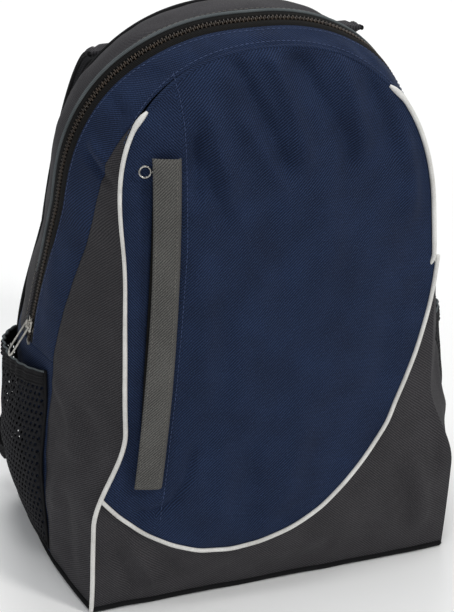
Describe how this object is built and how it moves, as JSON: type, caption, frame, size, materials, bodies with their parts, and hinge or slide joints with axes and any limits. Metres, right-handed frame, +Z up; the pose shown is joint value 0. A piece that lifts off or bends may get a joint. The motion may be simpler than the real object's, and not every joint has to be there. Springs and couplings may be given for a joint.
{
  "type": "school backpack",
  "caption": "Rounded-top school backpack with a zipped main compartment, zipped front pocket under a storm flap, mesh side pockets and padded shoulder straps.",
  "frame": {"origin": "centre of the base on the ground, between the front and back seams' side-to-side middle", "axes": "+Z up, the front panel faces -Y and the straps are on +Y, +X is to the right when looking at the front"},
  "size_m": [0.3656, 0.2336, 0.4356],
  "materials": {
    "navy_twill": "woven polyester twill, matt with a faint sheen",
    "charcoal_twill": "woven polyester twill, matt",
    "black_fabric": "matt woven polyester lining and tape",
    "black_mesh": "open knitted mesh",
    "air_mesh": "padded spacer mesh",
    "webbing": "ribbed polypropylene webbing",
    "white_piping": "satin covered cord",
    "zip_coil": "nylon coil",
    "zip_metal": "nickel-plated",
    "black_plastic": "moulded acetal, fine texture"
  },
  "bodies": {
    "bag": {"base_panel": "black_fabric", "base_board": "black_plastic", "back_panel": "black_fabric", "back_pads": "air_mesh", "rear_gusset": "charcoal_twill", "left_side_rear": "navy_twill", "right_side_rear": "navy_twill", "left_side_panel_lower": "charcoal_twill", "right_side_panel_lower": "charcoal_twill", "front_panel_foot": "navy_twill", "front_corner_foot": "charcoal_twill", "arc_piping_lower": "white_piping", "left_piping_lower": "white_piping", "right_piping_lower": "white_piping", "zip_tape_rear": "black_fabric", "zip_coil_rear": "zip_coil", "zip_stops": "zip_metal", "left_mesh_pocket": "black_mesh", "right_mesh_pocket": "black_mesh", "left_pocket_elastic": "webbing", "right_pocket_elastic": "webbing", "strap_yoke": "black_fabric", "left_shoulder_strap": "charcoal_twill", "right_shoulder_strap": "charcoal_twill", "left_lock_loop": "webbing", "right_lock_loop": "webbing", "left_lower_webbing": "webbing", "right_lower_webbing": "webbing", "left_anchor_tab": "charcoal_twill", "right_anchor_tab": "charcoal_twill"},
    "front_cover": {"front_panel": "navy_twill", "front_corner_panel": "charcoal_twill", "front_gusset": "navy_twill", "left_side_panel": "charcoal_twill", "right_side_panel": "charcoal_twill", "zip_tape_front": "black_fabric", "zip_coil_front": "zip_coil", "left_piping": "white_piping", "right_piping": "white_piping", "arc_piping": "white_piping", "pocket_lining": "black_fabric", "pocket_zip_tape": "black_fabric", "pocket_zip_coil": "zip_coil"},
    "main_slider": {"main_slider": "zip_metal"},
    "main_pull": {"main_pull": "zip_metal"},
    "pocket_slider": {"pocket_slider": "zip_metal"},
    "pocket_pull": {"pocket_pull": "zip_metal"},
    "storm_flap": {"storm_flap": "charcoal_twill"},
    "grab_handle": {"grab_handle": "webbing"},
    "left_ladder_lock": {"left_ladder_lock": "black_plastic"},
    "right_ladder_lock": {"right_ladder_lock": "black_plastic"},
    "left_webbing_tail": {"left_webbing_tail": "webbing"},
    "right_webbing_tail": {"right_webbing_tail": "webbing"}
  },
  "joints": [
    {"name": "cover_hinge", "type": "hinge", "parent": "bag", "child": "front_cover", "pos_m": [0, -0.0745, 0.062], "axis": [1, 0, 0], "range_deg": [0, 35]},
    {"name": "main_slider_slide", "type": "slide", "parent": "bag", "child": "main_slider", "axis": [0.159, -0.0937, 0.9828], "range_m": [0, 0.06]},
    {"name": "main_pull_hinge", "type": "hinge", "parent": "main_slider", "child": "main_pull", "pos_m": [-0.16338, 0.04444, 0.1945], "axis": [0.1536, 0.9857, 0.0692], "range_deg": [0, 130]},
    {"name": "pocket_slider_slide", "type": "slide", "parent": "front_cover", "child": "pocket_slider", "axis": [-0.0855, -0.1683, -0.982], "range_m": [0, 0.21]},
    {"name": "pocket_pull_swing", "type": "hinge", "parent": "pocket_slider", "child": "pocket_pull", "pos_m": [-0.07882, -0.02299, 0.34491], "axis": [-0.1831, -0.9662, 0.1815], "range_deg": [0, 45]},
    {"name": "storm_flap_hinge", "type": "hinge", "parent": "front_cover", "child": "storm_flap", "pos_m": [-0.07665, -0.04265, 0.23806], "axis": [0.0855, 0.1683, 0.982], "range_deg": [0, 110]},
    {"name": "grab_handle_hinge", "type": "hinge", "parent": "bag", "child": "grab_handle", "pos_m": [0, 0.077, 0.404], "axis": [1, 0, 0], "range_deg": [0, 165]},
    {"name": "left_lock_tilt", "type": "hinge", "parent": "bag", "child": "left_ladder_lock", "pos_m": [-0.12312, 0.13234, 0.13542], "axis": [0.9744, -0.0768, -0.2112], "range_deg": [0, 30]},
    {"name": "left_tail_swing", "type": "hinge", "parent": "left_ladder_lock", "child": "left_webbing_tail", "pos_m": [-0.12816, 0.12807, 0.11375], "axis": [1, 0, 0], "range_deg": [0, 60]},
    {"name": "right_lock_tilt", "type": "hinge", "parent": "bag", "child": "right_ladder_lock", "pos_m": [0.12312, 0.13234, 0.13542], "axis": [0.9744, 0.0768, 0.2112], "range_deg": [0, 30]},
    {"name": "right_tail_swing", "type": "hinge", "parent": "right_ladder_lock", "child": "right_webbing_tail", "pos_m": [0.12816, 0.12807, 0.11375], "axis": [1, 0, 0], "range_deg": [0, 60]}
  ]
}
